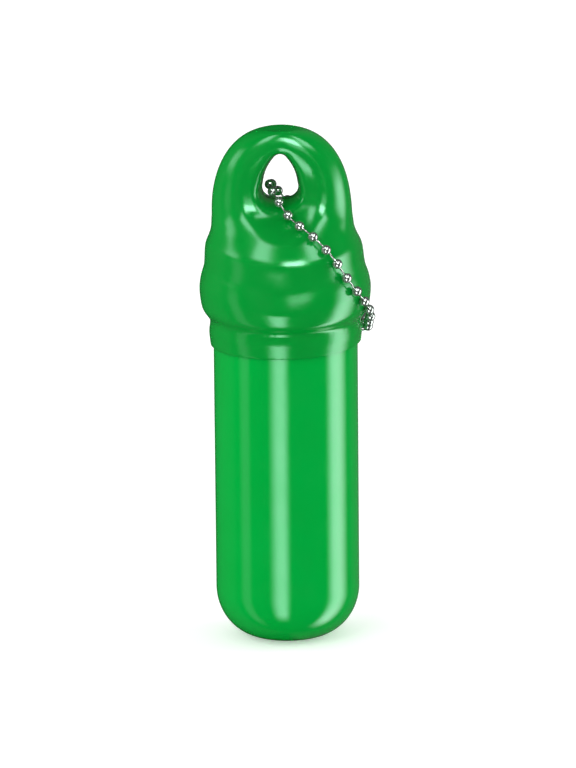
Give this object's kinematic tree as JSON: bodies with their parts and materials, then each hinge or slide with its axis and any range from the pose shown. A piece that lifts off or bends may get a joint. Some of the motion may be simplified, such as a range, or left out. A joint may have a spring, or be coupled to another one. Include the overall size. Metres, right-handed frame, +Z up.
{
  "type": "floating keychain",
  "caption": "Upright hollow vinyl float with a rounded foot, a moulded cap rising to a flared eye, and a bead chain looped through the eye and clasped by a folded connector.",
  "frame": {"origin": "middle of the float's flat foot", "axes": "+Z up along the float to its eye, +X towards the side that the chain hangs on, -Y towards the front"},
  "size_m": [0.035, 0.0342, 0.1036],
  "materials": {
    "body_vinyl": "gloss green vinyl",
    "cap_vinyl": "gloss deep green vinyl",
    "chain_chrome": "bright plated"
  },
  "bodies": {
    "float": {"float_body": "body_vinyl", "eye_cap": "cap_vinyl"},
    "bead_01": {"bead_01": "chain_chrome"},
    "bead_02": {"bead_02": "chain_chrome"},
    "bead_03": {"bead_03": "chain_chrome"},
    "bead_04": {"bead_04": "chain_chrome"},
    "bead_05": {"bead_05": "chain_chrome"},
    "bead_06": {"bead_06": "chain_chrome"},
    "bead_07": {"bead_07": "chain_chrome"},
    "bead_08": {"bead_08": "chain_chrome"},
    "bead_09": {"bead_09": "chain_chrome"},
    "bead_10": {"bead_10": "chain_chrome"},
    "bead_11": {"bead_11": "chain_chrome"},
    "bead_12": {"bead_12": "chain_chrome"},
    "bead_13": {"bead_13": "chain_chrome"},
    "bead_14": {"bead_14": "chain_chrome"},
    "bead_15": {"bead_15": "chain_chrome"},
    "bead_16": {"bead_16": "chain_chrome"},
    "bead_17": {"bead_17": "chain_chrome"},
    "bead_18": {"bead_18": "chain_chrome"},
    "bead_19": {"bead_19": "chain_chrome"},
    "bead_20": {"bead_20": "chain_chrome"},
    "bead_21": {"bead_21": "chain_chrome"},
    "bead_22": {"bead_22": "chain_chrome"},
    "bead_23": {"bead_23": "chain_chrome"},
    "bead_24": {"bead_24": "chain_chrome"},
    "bead_25": {"bead_25": "chain_chrome"},
    "bead_26": {"bead_26": "chain_chrome"},
    "bead_27": {"bead_27": "chain_chrome"},
    "link_01": {"link_01": "chain_chrome"},
    "link_02": {"link_02": "chain_chrome"},
    "link_03": {"link_03": "chain_chrome"},
    "link_04": {"link_04": "chain_chrome"},
    "link_05": {"link_05": "chain_chrome"},
    "link_06": {"link_06": "chain_chrome"},
    "link_07": {"link_07": "chain_chrome"},
    "link_08": {"link_08": "chain_chrome"},
    "link_09": {"link_09": "chain_chrome"},
    "link_10": {"link_10": "chain_chrome"},
    "link_11": {"link_11": "chain_chrome"},
    "link_12": {"link_12": "chain_chrome"},
    "link_13": {"link_13": "chain_chrome"},
    "link_14": {"link_14": "chain_chrome"},
    "link_15": {"link_15": "chain_chrome"},
    "link_16": {"link_16": "chain_chrome"},
    "link_17": {"link_17": "chain_chrome"},
    "link_18": {"link_18": "chain_chrome"},
    "link_19": {"link_19": "chain_chrome"},
    "link_20": {"link_20": "chain_chrome"},
    "link_21": {"link_21": "chain_chrome"},
    "link_22": {"link_22": "chain_chrome"},
    "link_23": {"link_23": "chain_chrome"},
    "link_24": {"link_24": "chain_chrome"},
    "link_25": {"link_25": "chain_chrome"},
    "link_26": {"link_26": "chain_chrome"},
    "chain_connector": {"chain_connector": "chain_chrome"}
  },
  "joints": [
    {"name": "loop_swing_in_eye", "type": "hinge", "parent": "float", "child": "bead_01", "pos_m": [-0.0029, 0.00082, 0.09207], "axis": [0, -1, 0], "range_deg": [0, 90]},
    {"name": "bead_01_to_link_01", "type": "hinge", "parent": "bead_01", "child": "link_01", "pos_m": [-0.00287, -0.00009, 0.09202], "axis": [-0.5018, -0.2009, 0.8414], "range_deg": [0, 11]},
    {"name": "link_01_to_bead_02", "type": "hinge", "parent": "link_01", "child": "bead_02", "pos_m": [-0.00255, -0.00189, 0.09155], "axis": [0.5113, 0.2448, -0.8238], "range_deg": [-15, 0]},
    {"name": "bead_02_to_link_02", "type": "hinge", "parent": "bead_02", "child": "link_02", "pos_m": [-0.00212, -0.00358, 0.09104], "axis": [-0.72, -0.2052, 0.663], "range_deg": [0, 17]},
    {"name": "link_02_to_bead_03", "type": "hinge", "parent": "link_02", "child": "bead_03", "pos_m": [-0.00147, -0.00515, 0.09025], "axis": [0.7241, 0.2613, -0.6383], "range_deg": [-19, 0]},
    {"name": "bead_03_to_link_03", "type": "hinge", "parent": "bead_03", "child": "link_03", "pos_m": [-0.00068, -0.00643, 0.08921], "axis": [-0.8776, -0.2302, 0.4204], "range_deg": [0, 23]},
    {"name": "link_03_to_bead_04", "type": "hinge", "parent": "link_03", "child": "bead_04", "pos_m": [0.00018, -0.00765, 0.08807], "axis": [0.9942, 0.0841, 0.0675], "range_deg": [-18, 0]},
    {"name": "bead_04_to_link_04", "type": "hinge", "parent": "bead_04", "child": "link_04", "pos_m": [0.00114, -0.00881, 0.08705], "axis": [-0.4741, 0.3236, -0.8189], "range_deg": [0, 16]},
    {"name": "link_04_to_bead_05", "type": "hinge", "parent": "link_04", "child": "bead_05", "pos_m": [0.0023, -0.01006, 0.08627], "axis": [0.1701, -0.4268, 0.8882], "range_deg": [-23, 0]},
    {"name": "bead_05_to_link_05", "type": "hinge", "parent": "bead_05", "child": "link_05", "pos_m": [0.00354, -0.01115, 0.0855], "axis": [-0.3197, 0.3657, -0.8741], "range_deg": [0, 23]},
    {"name": "link_05_to_bead_06", "type": "hinge", "parent": "link_05", "child": "bead_06", "pos_m": [0.0049, -0.01209, 0.08461], "axis": [0.5439, -0.2031, 0.8142], "range_deg": [-23, 0]},
    {"name": "bead_06_to_link_06", "type": "hinge", "parent": "bead_06", "child": "link_06", "pos_m": [0.00622, -0.01279, 0.08356], "axis": [-0.6946, 0.0013, -0.7194], "range_deg": [0, 24]},
    {"name": "link_06_to_bead_07", "type": "hinge", "parent": "link_06", "child": "bead_07", "pos_m": [0.00752, -0.01331, 0.08231], "axis": [0.7487, 0.1781, 0.6385], "range_deg": [-24, 0]},
    {"name": "bead_07_to_link_07", "type": "hinge", "parent": "bead_07", "child": "link_07", "pos_m": [0.00872, -0.0136, 0.08097], "axis": [-0.7415, -0.3065, -0.5968], "range_deg": [0, 24]},
    {"name": "link_07_to_bead_08", "type": "hinge", "parent": "link_07", "child": "bead_08", "pos_m": [0.00988, -0.01354, 0.0795], "axis": [0.7114, 0.416, 0.5665], "range_deg": [-24, 0]},
    {"name": "bead_08_to_link_08", "type": "hinge", "parent": "bead_08", "child": "link_08", "pos_m": [0.0108, -0.01306, 0.078], "axis": [-0.6756, -0.4898, -0.551], "range_deg": [0, 19]},
    {"name": "link_08_to_bead_09", "type": "hinge", "parent": "link_08", "child": "bead_09", "pos_m": [0.01171, -0.01255, 0.07643], "axis": [0.2347, -0.4051, 0.8836], "range_deg": [-22, 0]},
    {"name": "bead_09_to_link_09", "type": "hinge", "parent": "bead_09", "child": "link_09", "pos_m": [0.01269, -0.01217, 0.07495], "axis": [-0.564, -0.5733, -0.5943], "range_deg": [0, 20]},
    {"name": "link_09_to_bead_10", "type": "hinge", "parent": "link_09", "child": "bead_10", "pos_m": [0.01372, -0.01165, 0.07347], "axis": [0.4946, 0.564, 0.6613], "range_deg": [-24, 0]},
    {"name": "bead_10_to_link_10", "type": "hinge", "parent": "bead_10", "child": "link_10", "pos_m": [0.0146, -0.01082, 0.07211], "axis": [-0.4343, -0.5353, -0.7245], "range_deg": [0, 24]},
    {"name": "link_10_to_bead_11", "type": "hinge", "parent": "link_10", "child": "bead_11", "pos_m": [0.01537, -0.00969, 0.07081], "axis": [0.3795, 0.5235, 0.7629], "range_deg": [-23, 0]},
    {"name": "bead_11_to_link_11", "type": "hinge", "parent": "bead_11", "child": "link_11", "pos_m": [0.016, -0.00845, 0.06964], "axis": [-0.3288, -0.5203, -0.7882], "range_deg": [0, 24]},
    {"name": "link_11_to_bead_12", "type": "hinge", "parent": "link_11", "child": "bead_12", "pos_m": [0.01649, -0.00703, 0.06851], "axis": [0.2804, 0.522, 0.8056], "range_deg": [-23, 0]},
    {"name": "bead_12_to_link_12", "type": "hinge", "parent": "bead_12", "child": "link_12", "pos_m": [0.01682, -0.00559, 0.06745], "axis": [-0.237, -0.5175, -0.8222], "range_deg": [0, 24]},
    {"name": "link_12_to_bead_13", "type": "hinge", "parent": "link_12", "child": "bead_13", "pos_m": [0.01694, -0.00401, 0.06643], "axis": [0.2038, 0.5084, 0.8367], "range_deg": [-24, 0]},
    {"name": "bead_13_to_link_13", "type": "hinge", "parent": "bead_13", "child": "link_13", "pos_m": [0.01686, -0.00245, 0.0655], "axis": [-0.185, -0.4984, -0.847], "range_deg": [0, 22]},
    {"name": "link_13_to_bead_14", "type": "hinge", "parent": "link_13", "child": "bead_14", "pos_m": [0.01666, -0.00082, 0.06458], "axis": [0.2347, -0.4051, 0.8836], "range_deg": [-24, 0]},
    {"name": "bead_14_to_link_14", "type": "hinge", "parent": "bead_14", "child": "link_14", "pos_m": [0.01655, 0.00077, 0.06371], "axis": [-0.2347, 0.4051, -0.8836], "range_deg": [0, 22]},
    {"name": "link_14_to_bead_15", "type": "hinge", "parent": "link_14", "child": "bead_15", "pos_m": [0.0166, 0.00244, 0.06284], "axis": [0.0997, 0.3391, 0.9354], "range_deg": [-24, 0]},
    {"name": "bead_15_to_link_15", "type": "hinge", "parent": "bead_15", "child": "link_15", "pos_m": [0.0164, 0.00414, 0.06224], "axis": [-0.113, -0.0749, -0.9908], "range_deg": [0, 19]},
    {"name": "link_15_to_bead_16", "type": "hinge", "parent": "link_15", "child": "bead_16", "pos_m": [0.01596, 0.00597, 0.06215], "axis": [0.1214, -0.082, 0.9892], "range_deg": [-23, 0]},
    {"name": "bead_01_to_link_26", "type": "hinge", "parent": "bead_01", "child": "link_26", "pos_m": [-0.00294, 0.00172, 0.09213], "axis": [0.9261, -0.1762, -0.3337], "range_deg": [0, 22]},
    {"name": "link_26_to_bead_27", "type": "hinge", "parent": "link_26", "child": "bead_27", "pos_m": [-0.00271, 0.00356, 0.0918], "axis": [-0.9343, 0.2971, 0.1971], "range_deg": [-24, 0]},
    {"name": "bead_27_to_link_25", "type": "hinge", "parent": "bead_27", "child": "link_25", "pos_m": [-0.00233, 0.0052, 0.09112], "axis": [0.9152, -0.4008, -0.0412], "range_deg": [0, 24]},
    {"name": "link_25_to_bead_26", "type": "hinge", "parent": "link_25", "child": "bead_26", "pos_m": [-0.00174, 0.00665, 0.09008], "axis": [-0.8483, 0.4934, -0.1923], "range_deg": [-21, 0]},
    {"name": "bead_26_to_link_24", "type": "hinge", "parent": "bead_26", "child": "link_24", "pos_m": [-0.00085, 0.00774, 0.08892], "axis": [0.8086, -0.5301, 0.2554], "range_deg": [0, 21]},
    {"name": "link_24_to_bead_25", "type": "hinge", "parent": "link_24", "child": "bead_25", "pos_m": [0.00018, 0.00871, 0.08768], "axis": [-0.6022, 0.1337, 0.7871], "range_deg": [-20, 0]},
    {"name": "bead_25_to_link_23", "type": "hinge", "parent": "bead_25", "child": "link_23", "pos_m": [0.00106, 0.00993, 0.08666], "axis": [0.2347, -0.4051, 0.8836], "range_deg": [0, 21]},
    {"name": "link_23_to_bead_24", "type": "hinge", "parent": "link_23", "child": "bead_24", "pos_m": [0.00205, 0.01123, 0.08573], "axis": [-0.7777, 0.6207, -0.0998], "range_deg": [-19, 0]},
    {"name": "bead_24_to_link_22", "type": "hinge", "parent": "bead_24", "child": "link_22", "pos_m": [0.0031, 0.01239, 0.08479], "axis": [0.735, -0.6633, 0.1409], "range_deg": [0, 22]},
    {"name": "link_22_to_bead_23", "type": "hinge", "parent": "link_22", "child": "bead_23", "pos_m": [0.00424, 0.01343, 0.08372], "axis": [-0.6761, 0.6981, -0.2358], "range_deg": [-24, 0]},
    {"name": "bead_23_to_link_21", "type": "hinge", "parent": "bead_23", "child": "link_21", "pos_m": [0.00539, 0.01413, 0.0825], "axis": [0.6346, -0.7222, 0.2753], "range_deg": [0, 23]},
    {"name": "link_21_to_bead_22", "type": "hinge", "parent": "link_21", "child": "bead_22", "pos_m": [0.00658, 0.01466, 0.08114], "axis": [-0.5822, 0.734, -0.3496], "range_deg": [-24, 0]},
    {"name": "bead_22_to_link_20", "type": "hinge", "parent": "bead_22", "child": "link_20", "pos_m": [0.00767, 0.01484, 0.0797], "axis": [0.5441, -0.7392, 0.3968], "range_deg": [0, 24]},
    {"name": "link_20_to_bead_21", "type": "hinge", "parent": "link_20", "child": "bead_21", "pos_m": [0.00862, 0.01467, 0.07808], "axis": [-0.5281, 0.7505, -0.3973], "range_deg": [-24, 0]},
    {"name": "bead_21_to_link_19", "type": "hinge", "parent": "bead_21", "child": "link_19", "pos_m": [0.00937, 0.01434, 0.07646], "axis": [0.3456, -0.4084, -0.8449], "range_deg": [0, 24]},
    {"name": "link_19_to_bead_20", "type": "hinge", "parent": "link_19", "child": "bead_20", "pos_m": [0.01027, 0.01432, 0.07481], "axis": [-0.5106, 0.7951, -0.3273], "range_deg": [-22, 0]},
    {"name": "bead_20_to_link_18", "type": "hinge", "parent": "bead_20", "child": "link_18", "pos_m": [0.01108, 0.01417, 0.07318], "axis": [0.4737, -0.7914, 0.3864], "range_deg": [0, 24]},
    {"name": "link_18_to_bead_19", "type": "hinge", "parent": "link_18", "child": "bead_19", "pos_m": [0.0118, 0.01378, 0.07149], "axis": [-0.4447, 0.785, -0.4313], "range_deg": [-23, 0]},
    {"name": "bead_19_to_link_17", "type": "hinge", "parent": "bead_19", "child": "link_17", "pos_m": [0.01242, 0.01323, 0.06987], "axis": [0.4261, -0.7847, 0.4502], "range_deg": [0, 22]},
    {"name": "link_17_to_bead_18", "type": "hinge", "parent": "link_17", "child": "bead_18", "pos_m": [0.01296, 0.01257, 0.0682], "axis": [-0.4083, 0.7777, -0.4779], "range_deg": [-24, 0]},
    {"name": "bead_18_to_link_16", "type": "hinge", "parent": "bead_18", "child": "link_16", "pos_m": [0.01333, 0.01178, 0.0666], "axis": [0.3915, -0.7441, 0.5413], "range_deg": [0, 21]},
    {"name": "link_16_to_bead_17", "type": "hinge", "parent": "link_16", "child": "bead_17", "pos_m": [0.01366, 0.01081, 0.06502], "axis": [-0.3706, 0.6829, -0.6295], "range_deg": [-19, 0]},
    {"name": "bead_17_to_chain_connector", "type": "hinge", "parent": "bead_17", "child": "chain_connector", "pos_m": [0.01383, 0.01026, 0.06432], "axis": [0.4128, -0.7815, -0.4679], "range_deg": [0, 24]}
  ]
}
